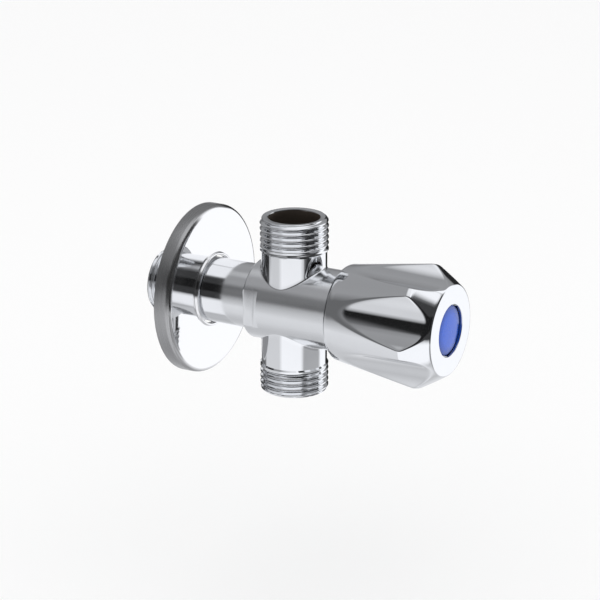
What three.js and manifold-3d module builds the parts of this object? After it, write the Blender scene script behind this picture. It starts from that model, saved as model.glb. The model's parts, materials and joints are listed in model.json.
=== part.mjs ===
// Two-outlet angle stop valve with a multi-turn, non-rising headwork.
//
// Frame, in millimetres: the origin is on the inlet axis in the plane of the finished wall,
// +X runs out of the wall along the inlet and the spindle, and +Z is up. The valve is drawn
// closed. Lengths along X are measured from the wall unless a comment says otherwise.

import * as THREE from 'three';
import { mergeVertices } from 'three/addons/utils/BufferGeometryUtils.js';
import Module from 'manifold-3d';

const wasm = await Module();
wasm.setup();

// ---- Driving dimensions ----

const ROUND = 40; // facets round a large turned face
const SMALL_ROUND = 24; // facets round an inner turned face
const COVER_ROUND = 48; // facets round the escutcheon
const KNOB_ROUND = 60; // facets round the knob, ten to a flute
const CLEAR = 0.3; // running gap between a piece and the one that it fits in

// G 1/2 pipe thread, which the inlet and both outlets share, drawn at its major radius.
const THREAD_R = 10.48;
const THREAD_CHAMFER = 0.9;

// Valve body along X.
const INLET_END_X = -13;
const INLET_THREAD_END_X = 3;
const BARREL_R = 10.05;
const SHOULDER_X = 22.2;
const BODY_R = 12.35;
const BODY_FRONT_X = 52;
const FLATS_END_X = 27.4;
const FLATS_HALF = 10.95;
const EDGE = 0.4; // small chamfer on the body's turned edges

// The two outlets, one up and one down.
const PORT_X = 34;
const PORT_END_Z = 27.5;
const PORT_R = 10.03;
const PORT_BORE_R = 7.85;
const TOP_THREAD_LENGTH = 10;
const BOTTOM_THREAD_LENGTH = 8.6;

// Waterway inside the body.
const INLET_BORE_R = 7.2;
const INLET_BORE_END_X = 18;
const SEAT_BORE_R = 5.5;
const SEAT_X = 25.7;
const SEAT_RIM_R = 6.7;
const SEAT_RIM_HEIGHT = 0.8;
const CHAMBER_R = 8.6;
const CHAMBER_END_X = 42;
const HEAD_BORE_R = 9.3;

// Escutcheon: a stamped cover that is loose on the barrel.
const COVER_R = 26.4;
const COVER_DEPTH = 5.5;
const COVER_WALL = 1;
const COVER_EDGE_R = 1.8;
const COVER_HOLE_R = 10.8;
const COVER_LIP_R = 11.5;
const COVER_LIP_X = 6.4;

// Headwork body, which screws into the front of the valve body.
const HEAD_START_X = 42.2;
const HEAD_THREAD_R = 9;
const GASKET_THICK = 1.05;
const HEX_START_X = 53.15;
const HEX_END_X = 58.5;
const HEX_FLATS = 21;
const HEAD_NECK_R = 6.6;
const HEAD_END_X = 67;
const PISTON_BORE_R = 6.95;
const PISTON_BORE_END_X = 48.9;
const GUIDE_HEX_FLATS = 11.9;
const GUIDE_HEX_END_X = 54.7;
const COLLAR_BORE_R = 6.1;
const COLLAR_BORE_END_X = 57.7;
const STEM_BORE_R = 4.7;

// Spindle.
const SPINDLE_START_X = 39.5;
const SPINDLE_THREAD_R = 3.9; // M8, which drives the plunger
const COLLAR_START_X = 54.9;
const COLLAR_END_X = 56.9;
const COLLAR_R = 5.8;
const STEM_R = 4.35;
const O_RING_X = [60.1, 63.6];
const O_RING_GROOVE_HALF = 0.9;
const O_RING_GROOVE_R = 3;
const CLIP_X = 68.3;
const CLIP_HALF = 0.45;
const CLIP_GROOVE_R = 3.5;
const SPLINE_START_X = 69.6;
const SPLINE_END_X = 77.8;
const SPLINE_TEETH = 18;
const SPLINE_TIP_R = 4;
const SPLINE_ROOT_R = 3.6;
const SCREW_R = 1.95; // M4, in the spindle and in the plunger
const SCREW_HOLE_R = SCREW_R + CLEAR;

// Plunger, which carries the rubber washer that closes on the seat.
const WASHER_START_X = SEAT_X + 0.1;
const WASHER_THICK = 3.1;
const WASHER_R = 6.5;
const CUP_START_X = 27;
const CUP_END_X = 31.2;
const CUP_R = 7.5;
const CUP_RECESS_R = WASHER_R + CLEAR;
const NECK_R = 5.2;
const NECK_END_X = 34.5;
const PISTON_START_X = 40.9;
const PISTON_END_X = 45.2;
const PISTON_R = PISTON_BORE_R - CLEAR;
const PISTON_RING_X = 43.5;
const PISTON_GROOVE_R = 5.3;
const PLUNGER_HEX_FLATS = GUIDE_HEX_FLATS - 2 * CLEAR;
const PLUNGER_END_X = 51.2;
const PLUNGER_BORE_R = 4.25;
const PLUNGER_BORE_START_X = 35.5;

// Handle: a six-fluted knob, its brass insert, screw and index button.
const SKIRT_X = 51.2;
const SKIRT_BORE_R = 12.85;
const SKIRT_EDGE_R = 13.3;
const SKIRT_ROUND = [2, 1.6]; // half-axes of the rounded skirt edge, along X and outwards
const SKIRT_TANGENT = 101; // angle on that edge where its slope meets the cone's
const RIDGE_X = 78.9;
const RIDGE_R = 18.85;
const FACE_X = 86.7;
const FACE_R = 13.8;
const FLUTES = 6;
const FLUTE_TURN = THREE.MathUtils.degToRad(-19.5); // first flute, from the -Y side upwards
const FLUTE_CUT_R = 15.2;
const FLUTE_FLOOR_R = [15.35, 14.45]; // floor radius at the skirt end and at the face end
const FLUTE_X = [56, 85.5];
const CAVITY_END_X = 76.5;
const BOSS_START_X = 69.6;
const BOSS_R = 8.6;
const INSERT_R = 6;
const INSERT_START_X = 69.9;
const INSERT_END_X = 78;
const WEB_START_X = 78.2;
const WEB_END_X = 80.4;
const SCREW_POCKET_R = 6.1;
const BUTTON_SEAT_X = 83.8;
const BUTTON_R = 7.65;
const BUTTON_FACE_X = 86.5;

// ---- Shaping helpers ----

// A closed three.js geometry as a manifold solid.
function solid(geometry) {
  const bare = (geometry.index ? geometry.toNonIndexed() : geometry).clone();
  bare.deleteAttribute('normal');
  bare.deleteAttribute('uv');
  const merged = mergeVertices(bare, 1e-5);
  const triangles = [];
  const index = merged.index.array;
  for (let i = 0; i < index.length; i += 3) {
    const [a, b, c] = [index[i], index[i + 1], index[i + 2]];
    if (a !== b && b !== c && c !== a) triangles.push(a, b, c);
  }
  return new wasm.Manifold(new wasm.Mesh({
    numProp: 3,
    vertProperties: merged.attributes.position.array,
    triVerts: new Uint32Array(triangles),
  }));
}

// A manifold solid as a three.js geometry.
function geometryOf(body) {
  const mesh = body.getMesh();
  const geometry = new THREE.BufferGeometry();
  geometry.setAttribute('position', new THREE.BufferAttribute(mesh.vertProperties, 3));
  geometry.setIndex(new THREE.BufferAttribute(mesh.triVerts, 1));
  return geometry.toNonIndexed();
}

// A profile of [axial place, radius] points turned about the axis, as a LatheGeometry about Y.
function lathe(profile, facets) {
  let area = 0;
  profile.forEach(([axial, radius], i) => {
    const [nextAxial, nextRadius] = profile[(i + 1) % profile.length];
    area += radius * nextAxial - nextRadius * axial;
  });
  const ordered = area < 0 ? [...profile].reverse() : profile;
  const points = [...ordered, ordered[0]].map(([axial, radius]) => new THREE.Vector2(radius, axial));
  return new THREE.LatheGeometry(points, facets);
}

// Turned solids about X, and about the vertical axis of the outlets.
const turned = (profile, facets = ROUND) => solid(lathe(profile, facets).rotateZ(-Math.PI / 2));
const turnedUp = (profile, facets = ROUND) => solid(
  lathe(profile, facets).rotateX(Math.PI / 2).translate(PORT_X, 0, 0));

// Plain turned lengths: a rod and a ring.
const rod = (start, end, radius, facets) => turned(
  [[start, 0], [start, radius], [end, radius], [end, 0]], facets);
const ring = (start, end, inner, outer, facets) => turned(
  [[start, inner], [start, outer], [end, outer], [end, inner]], facets);

// A hexagonal bar along X, given across its flats.
function hexBar(start, end, flats) {
  const bar = new THREE.CylinderGeometry(flats / Math.sqrt(3), flats / Math.sqrt(3), end - start, 6);
  return solid(bar.rotateZ(-Math.PI / 2).translate((start + end) / 2, 0, 0));
}

// A splined bar along X, as a star with one point for each tooth.
function splinedBar(start, end, tip, root) {
  const star = new THREE.Shape();
  for (let i = 0; i < 2 * SPLINE_TEETH; i += 1) {
    const angle = i * Math.PI / SPLINE_TEETH;
    const radius = i % 2 ? root : tip;
    star[i ? 'lineTo' : 'moveTo'](radius * Math.cos(angle), radius * Math.sin(angle));
  }
  const bar = new THREE.ExtrudeGeometry(star, { depth: end - start, bevelEnabled: false });
  return solid(bar.rotateY(Math.PI / 2).translate(start, 0, 0));
}

// A rectangular block between two corners.
function block(low, high) {
  const size = high.map((value, i) => value - low[i]);
  const middle = high.map((value, i) => (value + low[i]) / 2);
  return solid(new THREE.BoxGeometry(...size).translate(...middle));
}

// Profile points along an arc about a centre, between two angles from the axial direction.
function arc([axial, radial], [axialR, radialR], fromDegrees, toDegrees, steps) {
  return Array.from({ length: steps + 1 }, (_, i) => {
    const angle = THREE.MathUtils.degToRad(fromDegrees + (toDegrees - fromDegrees) * i / steps);
    return [axial + axialR * Math.cos(angle), radial + radialR * Math.sin(angle)];
  });
}

// ---- Finishes ----

const finish = (color, roughness, metalness) => ({ color, roughness, metalness });
const CHROME = finish(0xd9dde2, 0.08, 1);
const STAINLESS = finish(0xcdd0d3, 0.15, 1);
const BRASS = finish(0xc29a4b, 0.3, 1);
const STEEL = finish(0x9ea1a4, 0.35, 1);
const RUBBER = finish(0x1b1b1c, 0.8, 0);
const FIBRE = finish(0xa8452c, 0.9, 0);
const NYLON = finish(0xe9e7de, 0.5, 0);
const BLUE = finish(0x1f57c8, 0.3, 0);

// ---- Sub-parts ----

// One outlet as a profile of [height, radius]: plain stub, then the thread to its chamfered end.
function portProfile(threadLength) {
  const start = PORT_END_Z - threadLength;
  return [
    [0, 0], [0, PORT_R], [start - 0.4, PORT_R], [start, THREAD_R],
    [PORT_END_Z - THREAD_CHAMFER, THREAD_R], [PORT_END_Z, THREAD_R - THREAD_CHAMFER / 2],
    [PORT_END_Z, 0],
  ];
}

// Cast and turned brass body: inlet thread, barrel, wrench flats, chamber and two outlets.
function valveBody() {
  const bar = turned([
    [INLET_END_X, 0], [INLET_END_X, THREAD_R - THREAD_CHAMFER],
    [INLET_END_X + THREAD_CHAMFER, THREAD_R], [INLET_THREAD_END_X, THREAD_R],
    [INLET_THREAD_END_X + EDGE, BARREL_R], [SHOULDER_X, BARREL_R],
    [SHOULDER_X, BODY_R - EDGE], [SHOULDER_X + EDGE, BODY_R],
    [BODY_FRONT_X - EDGE, BODY_R], [BODY_FRONT_X, BODY_R - EDGE], [BODY_FRONT_X, 0],
  ]);
  const up = turnedUp(portProfile(TOP_THREAD_LENGTH));
  const down = turnedUp(portProfile(BOTTOM_THREAD_LENGTH).map(([z, r]) => [-z, r]));
  const waterway = turned([
    [INLET_END_X - 1, 0], [INLET_END_X - 1, INLET_BORE_R], [INLET_BORE_END_X, INLET_BORE_R],
    [INLET_BORE_END_X + INLET_BORE_R - SEAT_BORE_R, SEAT_BORE_R], [SEAT_X, SEAT_BORE_R],
    [SEAT_X, SEAT_RIM_R], [SEAT_X - SEAT_RIM_HEIGHT, SEAT_RIM_R],
    [SEAT_X - SEAT_RIM_HEIGHT, CHAMBER_R], [CHAMBER_END_X, CHAMBER_R],
    [CHAMBER_END_X, HEAD_BORE_R], [BODY_FRONT_X + 1, HEAD_BORE_R], [BODY_FRONT_X + 1, 0],
  ]);
  // One straight bore runs through both outlets and crosses the chamber clear of the seat rim.
  const outletBores = turnedUp([
    [-PORT_END_Z - 1, 0], [-PORT_END_Z - 1, PORT_BORE_R], [PORT_END_Z + 1, PORT_BORE_R],
    [PORT_END_Z + 1, 0],
  ]);
  let body = bar.add(up).add(down).subtract(waterway).subtract(outletBores);
  for (const side of [-1, 1]) {
    const inner = side * FLATS_HALF;
    const outer = side * (BODY_R + 1);
    body = body.subtract(block(
      [SHOULDER_X - 1, Math.min(inner, outer), -BODY_R],
      [FLATS_END_X, Math.max(inner, outer), BODY_R]));
  }
  return body;
}

// Stamped stainless cover: back rim, rounded front edge, flat face and a lip round the barrel.
function escutcheon() {
  const face = COVER_DEPTH;
  const edgeCentre = [face - COVER_EDGE_R, COVER_R - COVER_EDGE_R];
  const insideR = COVER_EDGE_R - COVER_WALL;
  const lipRound = 0.3;
  return turned([
    [0, COVER_R - COVER_WALL], [0, COVER_R],
    ...arc(edgeCentre, [COVER_EDGE_R, COVER_EDGE_R], 90, 0, 3),
    [face, COVER_LIP_R], [COVER_LIP_X - lipRound, COVER_LIP_R],
    [COVER_LIP_X, COVER_LIP_R - lipRound], [COVER_LIP_X, COVER_HOLE_R],
    [face - COVER_WALL, COVER_HOLE_R], ...arc(edgeCentre, [insideR, insideR], 0, 90, 1),
  ], COVER_ROUND);
}

// Brass headwork: thread into the body, hexagon, neck, and the stepped bore for the plunger.
function headworkBody() {
  const blank = turned([
    [HEAD_START_X, 0], [HEAD_START_X, HEAD_THREAD_R - EDGE], [HEAD_START_X + EDGE, HEAD_THREAD_R],
    [HEX_START_X + 1, HEAD_THREAD_R], [HEX_START_X + 1, HEAD_NECK_R],
    [HEAD_END_X, HEAD_NECK_R], [HEAD_END_X, 0],
  ], SMALL_ROUND);
  const bore = turned([
    [HEAD_START_X - 1, 0], [HEAD_START_X - 1, PISTON_BORE_R], [PISTON_BORE_END_X, PISTON_BORE_R],
    [PISTON_BORE_END_X, COLLAR_R], [GUIDE_HEX_END_X, COLLAR_R], [GUIDE_HEX_END_X, COLLAR_BORE_R],
    [COLLAR_BORE_END_X, COLLAR_BORE_R], [COLLAR_BORE_END_X, STEM_BORE_R],
    [HEAD_END_X + 1, STEM_BORE_R], [HEAD_END_X + 1, 0],
  ], SMALL_ROUND);
  const guide = hexBar(PISTON_BORE_END_X - 1, GUIDE_HEX_END_X, GUIDE_HEX_FLATS);
  return blank.add(hexBar(HEX_START_X, HEX_END_X, HEX_FLATS)).subtract(bore).subtract(guide);
}

// Brass spindle: drive thread, thrust collar, stem with ring grooves, and the spline.
function spindle() {
  const grooves = O_RING_X.flatMap((x) => [
    [x - O_RING_GROOVE_HALF, STEM_R], [x - O_RING_GROOVE_HALF, O_RING_GROOVE_R],
    [x + O_RING_GROOVE_HALF, O_RING_GROOVE_R], [x + O_RING_GROOVE_HALF, STEM_R],
  ]);
  const clipHalf = CLIP_HALF + 0.1;
  const shaft = turned([
    [SPINDLE_START_X, 0], [SPINDLE_START_X, SPINDLE_THREAD_R - 0.7],
    [SPINDLE_START_X + 0.7, SPINDLE_THREAD_R], [COLLAR_START_X, SPINDLE_THREAD_R],
    [COLLAR_START_X, COLLAR_R], [COLLAR_END_X, COLLAR_R], [COLLAR_END_X, STEM_R],
    ...grooves,
    [CLIP_X - clipHalf, STEM_R], [CLIP_X - clipHalf, CLIP_GROOVE_R],
    [CLIP_X + clipHalf, CLIP_GROOVE_R], [CLIP_X + clipHalf, STEM_R],
    [SPLINE_START_X, STEM_R], [SPLINE_START_X, SPLINE_ROOT_R - EDGE],
    [SPLINE_END_X, SPLINE_ROOT_R - EDGE], [SPLINE_END_X, 0],
  ], SMALL_ROUND);
  return shaft
    .add(splinedBar(SPLINE_START_X - 0.2, SPLINE_END_X, SPLINE_TIP_R, SPLINE_ROOT_R))
    .subtract(rod(SPLINE_START_X, SPLINE_END_X + 1, SCREW_HOLE_R, SMALL_ROUND));
}

// Brass plunger: cup for the rubber washer, neck, piston with its ring groove, hexagon.
function plunger() {
  const washerEnd = WASHER_START_X + WASHER_THICK + 0.1;
  const grooveStart = PISTON_RING_X - O_RING_GROOVE_HALF;
  const grooveEnd = PISTON_RING_X + O_RING_GROOVE_HALF;
  const wallR = PLUNGER_HEX_FLATS / 2;
  return turned([
    [CUP_START_X, CUP_RECESS_R], [CUP_START_X, CUP_R], [CUP_END_X, CUP_R],
    [CUP_END_X + 1, NECK_R], [NECK_END_X, NECK_R], [NECK_END_X + 1, wallR],
    [PISTON_START_X, wallR], [PISTON_START_X, PISTON_R], [grooveStart, PISTON_R],
    [grooveStart, PISTON_GROOVE_R], [grooveEnd, PISTON_GROOVE_R], [grooveEnd, PISTON_R],
    [PISTON_END_X, PISTON_R], [PISTON_END_X, wallR - EDGE], [PLUNGER_END_X, wallR - EDGE],
    [PLUNGER_END_X, 0], [washerEnd, 0], [washerEnd, CUP_RECESS_R],
  ], SMALL_ROUND)
    .add(hexBar(PISTON_END_X - 0.2, PLUNGER_END_X, PLUNGER_HEX_FLATS))
    .subtract(rod(PLUNGER_BORE_START_X, PLUNGER_END_X + 1, PLUNGER_BORE_R, SMALL_ROUND))
    .subtract(rod(washerEnd - 1, PLUNGER_BORE_START_X - 1.5, SCREW_HOLE_R, SMALL_ROUND));
}

// A rubber ring of round section, about X.
function oRing(x, radius, section) {
  const torus = new THREE.TorusGeometry(radius, section, 6, SMALL_ROUND);
  return solid(torus.rotateY(Math.PI / 2).translate(x, 0, 0));
}

// A pan-head screw along X whose head is at the given end, with a crossed driving recess.
function panScrew(headFace, underHead, headR, tip) {
  const outward = Math.sign(headFace - underHead);
  const round = 0.5;
  const recess = 1.2;
  const screw = turned([
    [tip, 0], [tip, SCREW_R - round], [tip + outward * round, SCREW_R],
    [underHead, SCREW_R], [underHead, headR], [headFace - outward * round, headR],
    [headFace, headR - round], [headFace, 0],
  ], SMALL_ROUND);
  const [low, high] = [headFace - outward * recess, headFace + outward].sort((a, b) => a - b);
  const slotHalf = 0.4;
  const slotReach = 0.62 * headR;
  return screw
    .subtract(block([low, -slotReach, -slotHalf], [high, slotReach, slotHalf]))
    .subtract(block([low, -slotHalf, -slotReach], [high, slotHalf, slotReach]));
}

// A spring ring or washer that is cut through on one side.
function splitRing(start, end, inner, outer, gap) {
  return ring(start, end, inner, outer, SMALL_ROUND)
    .subtract(block([start - 1, -gap / 2, 0], [end + 1, gap / 2, outer + 1]));
}

// One flute cutter: a long cylinder whose near side is the flute's floor.
function fluteCutter(turn) {
  const [startX, endX] = FLUTE_X;
  const [startR, endR] = FLUTE_FLOOR_R;
  const length = 2 * (endX - startX);
  const cutter = new THREE.CylinderGeometry(FLUTE_CUT_R, FLUTE_CUT_R, length, KNOB_ROUND);
  const slope = Math.atan2(endR - startR, endX - startX);
  cutter.rotateZ(-Math.PI / 2).rotateY(-slope);
  cutter.translate((startX + endX) / 2, 0, (startR + endR) / 2 + FLUTE_CUT_R / Math.cos(slope));
  return solid(cutter.rotateX(turn));
}

// Hollow six-fluted knob with a boss for the insert, a web for the screw and a button seat.
function handle() {
  let knob = turned([
    [SKIRT_X, SKIRT_BORE_R],
    ...arc([SKIRT_X + SKIRT_ROUND[0], SKIRT_EDGE_R], SKIRT_ROUND, 180, SKIRT_TANGENT, 4),
    [RIDGE_X, RIDGE_R], [FACE_X, FACE_R], [FACE_X, BUTTON_R + CLEAR],
    [BUTTON_SEAT_X, BUTTON_R + CLEAR], [BUTTON_SEAT_X, SCREW_POCKET_R],
    [WEB_END_X, SCREW_POCKET_R], [WEB_END_X, SCREW_HOLE_R + 0.15],
    [WEB_START_X, SCREW_HOLE_R + 0.15], [WEB_START_X, INSERT_R + CLEAR],
    [BOSS_START_X, INSERT_R + CLEAR], [BOSS_START_X, BOSS_R], [CAVITY_END_X, BOSS_R],
    [CAVITY_END_X, SKIRT_BORE_R - 0.8], [CAVITY_END_X - 0.8, SKIRT_BORE_R],
  ], KNOB_ROUND);
  for (let i = 0; i < FLUTES; i += 1) {
    knob = knob.subtract(fluteCutter(Math.PI / 2 + FLUTE_TURN + i * 2 * Math.PI / FLUTES));
  }
  return knob;
}

// Brass bush pressed into the knob's boss, splined inside to take the spindle.
function handleInsert() {
  const play = CLEAR - 0.05;
  return ring(INSERT_START_X, INSERT_END_X, SPLINE_ROOT_R - EDGE, INSERT_R, SMALL_ROUND)
    .subtract(splinedBar(INSERT_START_X - 1, INSERT_END_X + 1,
      SPLINE_TIP_R + play, SPLINE_ROOT_R + play));
}

// Blue index button: domed disc with a ring behind it that snaps round the screw pocket.
function indexButton() {
  const back = BUTTON_SEAT_X + 0.2;
  const ringR = SCREW_POCKET_R - CLEAR;
  return turned([
    [back, 0], [back, ringR - 0.9], [WEB_END_X + 0.6, ringR - 0.9], [WEB_END_X + 0.6, ringR],
    [back, ringR], [back, BUTTON_R], [BUTTON_FACE_X - 0.6, BUTTON_R],
    [BUTTON_FACE_X - 0.2, BUTTON_R - 0.5], [BUTTON_FACE_X, BUTTON_R * 0.5], [BUTTON_FACE_X, 0],
  ], SMALL_ROUND);
}

// ---- Assembly ----

const washerEndX = WASHER_START_X + WASHER_THICK;
const headFaceX = HEX_START_X - GASKET_THICK;
const parts = [
  ['valve_body', valveBody(), CHROME],
  ['escutcheon', escutcheon(), STAINLESS],
  ['headwork_body', headworkBody(), BRASS],
  ['headwork_gasket', ring(headFaceX - 0.05, HEX_START_X - 0.05, HEAD_THREAD_R + CLEAR, 11.9,
    SMALL_ROUND), FIBRE],
  ['thrust_washer', ring(COLLAR_END_X + 0.05, COLLAR_BORE_END_X - 0.05, STEM_R + CLEAR,
    COLLAR_R, SMALL_ROUND), NYLON],
  ['circlip_washer', ring(HEAD_END_X + 0.05, CLIP_X - CLIP_HALF - 0.05, STEM_R + CLEAR,
    HEAD_NECK_R - CLEAR, SMALL_ROUND), NYLON],
  ['spindle', spindle(), BRASS],
  ['spindle_o_ring_inner', oRing(O_RING_X[0], 3.85, 0.75), RUBBER],
  ['spindle_o_ring_outer', oRing(O_RING_X[1], 3.85, 0.75), RUBBER],
  ['spindle_circlip', splitRing(CLIP_X - CLIP_HALF, CLIP_X + CLIP_HALF, CLIP_GROOVE_R + 0.1,
    5.9, 3), STEEL],
  ['plunger', plunger(), BRASS],
  ['plunger_o_ring', oRing(PISTON_RING_X, 6.12, 0.72), RUBBER],
  ['seat_washer', ring(WASHER_START_X, washerEndX, SCREW_HOLE_R, WASHER_R, SMALL_ROUND), RUBBER],
  ['seat_washer_plate', ring(WASHER_START_X - 0.75, WASHER_START_X - 0.05, SCREW_HOLE_R, 4.6,
    SMALL_ROUND), STEEL],
  ['seat_washer_screw', panScrew(WASHER_START_X - 2.7, WASHER_START_X - 0.8, 3.5,
    PLUNGER_BORE_START_X - 2), STEEL],
  ['handle', handle(), CHROME],
  ['handle_insert', handleInsert(), BRASS],
  ['handle_lock_washer', splitRing(WEB_END_X + 0.05, WEB_END_X + 0.75, SCREW_HOLE_R + 0.1,
    3.6, 0.6), STEEL],
  ['handle_screw', panScrew(BUTTON_SEAT_X - 0.4, WEB_END_X + 0.8, 3.7,
    SPLINE_START_X + 1.4), STEEL],
  ['index_button', indexButton(), BLUE],
];

const valve = new THREE.Group();
for (const [name, shape, look] of parts) {
  const mesh = new THREE.Mesh(geometryOf(shape), new THREE.MeshStandardMaterial(look));
  mesh.name = name;
  valve.add(mesh);
}

export default valve;
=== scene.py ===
"""Two-outlet angle stop valve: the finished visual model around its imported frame.

Every outline below is in millimetres. Lengths along the valve are stations measured from the
axis of the two outlets, positive towards the knob, unless a comment says otherwise.
"""

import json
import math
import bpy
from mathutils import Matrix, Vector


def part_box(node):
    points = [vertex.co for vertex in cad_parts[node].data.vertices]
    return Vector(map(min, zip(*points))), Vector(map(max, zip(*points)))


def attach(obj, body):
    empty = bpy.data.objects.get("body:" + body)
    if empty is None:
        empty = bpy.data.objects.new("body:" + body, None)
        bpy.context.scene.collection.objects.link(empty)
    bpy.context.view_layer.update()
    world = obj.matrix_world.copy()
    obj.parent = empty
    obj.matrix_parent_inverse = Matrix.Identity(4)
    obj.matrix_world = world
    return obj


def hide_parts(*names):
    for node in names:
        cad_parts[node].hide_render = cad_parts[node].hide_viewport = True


bl_info = {
    "name": "Angle Stop Valve",
    "version": (1, 0, 0),
    "blender": (4, 5, 0),
    "location": "3D View > Sidebar > Valve",
    "description": "Builds a chromed two-outlet angle stop valve around its CAD frame",
    "category": "Add Mesh",
}

import bmesh
import bpy
from bpy.props import FloatProperty, FloatVectorProperty, IntProperty, PointerProperty
from mathutils import Matrix, Vector

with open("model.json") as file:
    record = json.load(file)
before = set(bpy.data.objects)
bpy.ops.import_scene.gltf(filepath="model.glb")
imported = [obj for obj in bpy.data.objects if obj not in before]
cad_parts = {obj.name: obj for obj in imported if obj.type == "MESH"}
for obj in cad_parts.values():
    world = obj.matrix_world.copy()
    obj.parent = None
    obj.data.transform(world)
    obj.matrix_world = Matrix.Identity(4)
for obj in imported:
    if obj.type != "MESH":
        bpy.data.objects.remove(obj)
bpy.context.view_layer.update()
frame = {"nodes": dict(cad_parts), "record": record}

MM = 0.001
TAU = 2 * math.pi
MERGE = 0.002  # mm within which neighbouring skins share a vertex


def mount(name):
    """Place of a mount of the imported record, in millimetres."""
    found = [m for m in frame["record"]["mounts"] if m["name"] == name]
    return Vector(found[0]["pos_m"]) / MM


def span(node, axis=0):
    """Lowest and highest place of a CAD node along an axis, in millimetres."""
    low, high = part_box(node)
    return low[axis] / MM, high[axis] / MM


PORT_X = mount("outlet_top").x
TOP_Z = mount("outlet_top").z
BOTTOM_Z = -mount("outlet_bottom").z
INLET_END = span("valve_body")[0] - PORT_X
SKIRT, FACE = (value - PORT_X for value in span("handle"))
BUTTON_BACK, BUTTON_FACE = (value - PORT_X for value in span("index_button"))
PLUNGER_START, PLUNGER_END = (value - PORT_X for value in span("plunger"))
WASHER_START, WASHER_END = (value - PORT_X for value in span("seat_washer"))
PLATE_START, PLATE_END = (value - PORT_X for value in span("seat_washer_plate"))
COVER_BACK, COVER_FRONT = span("escutcheon")
COVER_R = span("escutcheon", 1)[1]


# ---- Sizes and finishes that a user would change ----


class ValveSizes(bpy.types.PropertyGroup):
    """Sizes of the visible surfaces."""

    thread_r: FloatProperty(name="Thread radius", description="Major radius of the G 1/2 threads",
                            default=0.01048, unit="LENGTH")
    thread_pitch: FloatProperty(name="Thread pitch", description="Pitch of the G 1/2 threads",
                                default=0.001814, unit="LENGTH")
    thread_depth: FloatProperty(name="Thread depth", description="Depth of the G 1/2 threads",
                                default=0.00112, unit="LENGTH")
    junction_r: FloatProperty(name="Junction fillet", description="Fillet where an outlet meets "
                              "the body", default=0.0005, unit="LENGTH")
    flutes: IntProperty(name="Flutes", description="Flutes round the knob", default=6)
    flute_soft: FloatProperty(name="Flute edge", description="Softness of the edges between the "
                              "flutes and the ridges", default=0.0005, unit="LENGTH")


class ValveFinish(bpy.types.PropertyGroup):
    """Colours and polish."""

    chrome: FloatVectorProperty(name="Chrome", description="Tint of the chrome plate",
                                subtype="COLOR", size=3, default=(0.86, 0.87, 0.885))
    chrome_rough: FloatProperty(name="Chrome roughness", description="Roughness of the plate",
                                default=0.045, subtype="FACTOR", min=0, max=1)
    stainless: FloatVectorProperty(name="Stainless", description="Tint of the escutcheon",
                                   subtype="COLOR", size=3, default=(0.88, 0.88, 0.885))
    brass: FloatVectorProperty(name="Brass", description="Colour of the bare brass",
                               subtype="COLOR", size=3, default=(0.72, 0.53, 0.25))
    blue: FloatVectorProperty(name="Index blue", description="Colour of the index button",
                              subtype="COLOR", size=3, default=(0.006, 0.098, 0.660))


def chosen(name):
    """A length of ValveSizes, in millimetres."""
    return getattr(bpy.context.scene.valve_sizes, name) / MM


# ---- Node trees as expressions ----


class Socket:
    """A value in a node tree that Python's operators extend with Math nodes."""

    def __init__(self, nodes, output):
        self.nodes = nodes
        self.output = output

    def math(self, operation, *others):
        return self.nodes.math(operation, self, *others)

    def __add__(self, other):
        return self.math("ADD", other)

    def __radd__(self, other):
        return self.nodes.math("ADD", other, self)

    def __sub__(self, other):
        return self.math("SUBTRACT", other)

    def __rsub__(self, other):
        return self.nodes.math("SUBTRACT", other, self)

    def __mul__(self, other):
        return self.math("MULTIPLY", other)

    def __rmul__(self, other):
        return self.nodes.math("MULTIPLY", other, self)

    def __truediv__(self, other):
        return self.math("DIVIDE", other)

    def __rtruediv__(self, other):
        return self.nodes.math("DIVIDE", other, self)

    def __neg__(self):
        return self.math("MULTIPLY", -1.0)


class Nodes:
    """Adds nodes to a tree and wires their inputs."""

    def __init__(self, tree):
        self.tree = tree

    def add(self, kind, settings=None, **inputs):
        """A node of that kind; inputs are named as its sockets, or _0, _1 by their order."""
        node = self.tree.nodes.new(kind)
        for name, value in (settings or {}).items():
            setattr(node, name, value)
        for name, value in inputs.items():
            place = int(name[1:]) if name[1:].isdigit() and name[0] == "_" else None
            target = node.inputs[name.replace("_", " ") if place is None else place]
            self.feed(target, value)
        return node

    def feed(self, target, value):
        """Links a socket, or sets a plain value, on an input."""
        if isinstance(value, Socket):
            value = value.output
        if isinstance(value, bpy.types.NodeSocket):
            self.tree.links.new(value, target)
        else:
            target.default_value = value

    def out(self, node, output=0):
        return Socket(self, node.outputs[output])

    def math(self, operation, *values):
        node = self.tree.nodes.new("ShaderNodeMath")
        node.operation = operation
        for target, value in zip(node.inputs, values):
            self.feed(target, value)
        return self.out(node)

    def lowest(self, a, b):
        return self.math("MINIMUM", a, b)

    def highest(self, a, b):
        return self.math("MAXIMUM", a, b)

    def clamp(self, value, low, high):
        return self.lowest(self.highest(value, low), high)

    def vector(self, x, y, z):
        return self.out(self.add("ShaderNodeCombineXYZ", None, X=x, Y=y, Z=z))

    def parts(self, vector):
        node = self.add("ShaderNodeSeparateXYZ", None, _0=vector)
        return [self.out(node, i) for i in range(3)]

    def mix(self, factor, a, b):
        """A mix of two colours."""
        node = self.tree.nodes.new("ShaderNodeMix")
        node.data_type = "RGBA"
        self.feed(node.inputs["Factor"], factor)
        self.feed(node.inputs[6], a)
        self.feed(node.inputs[7], b)
        return self.out(node, 2)


# ---- Geometry Nodes ----


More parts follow.
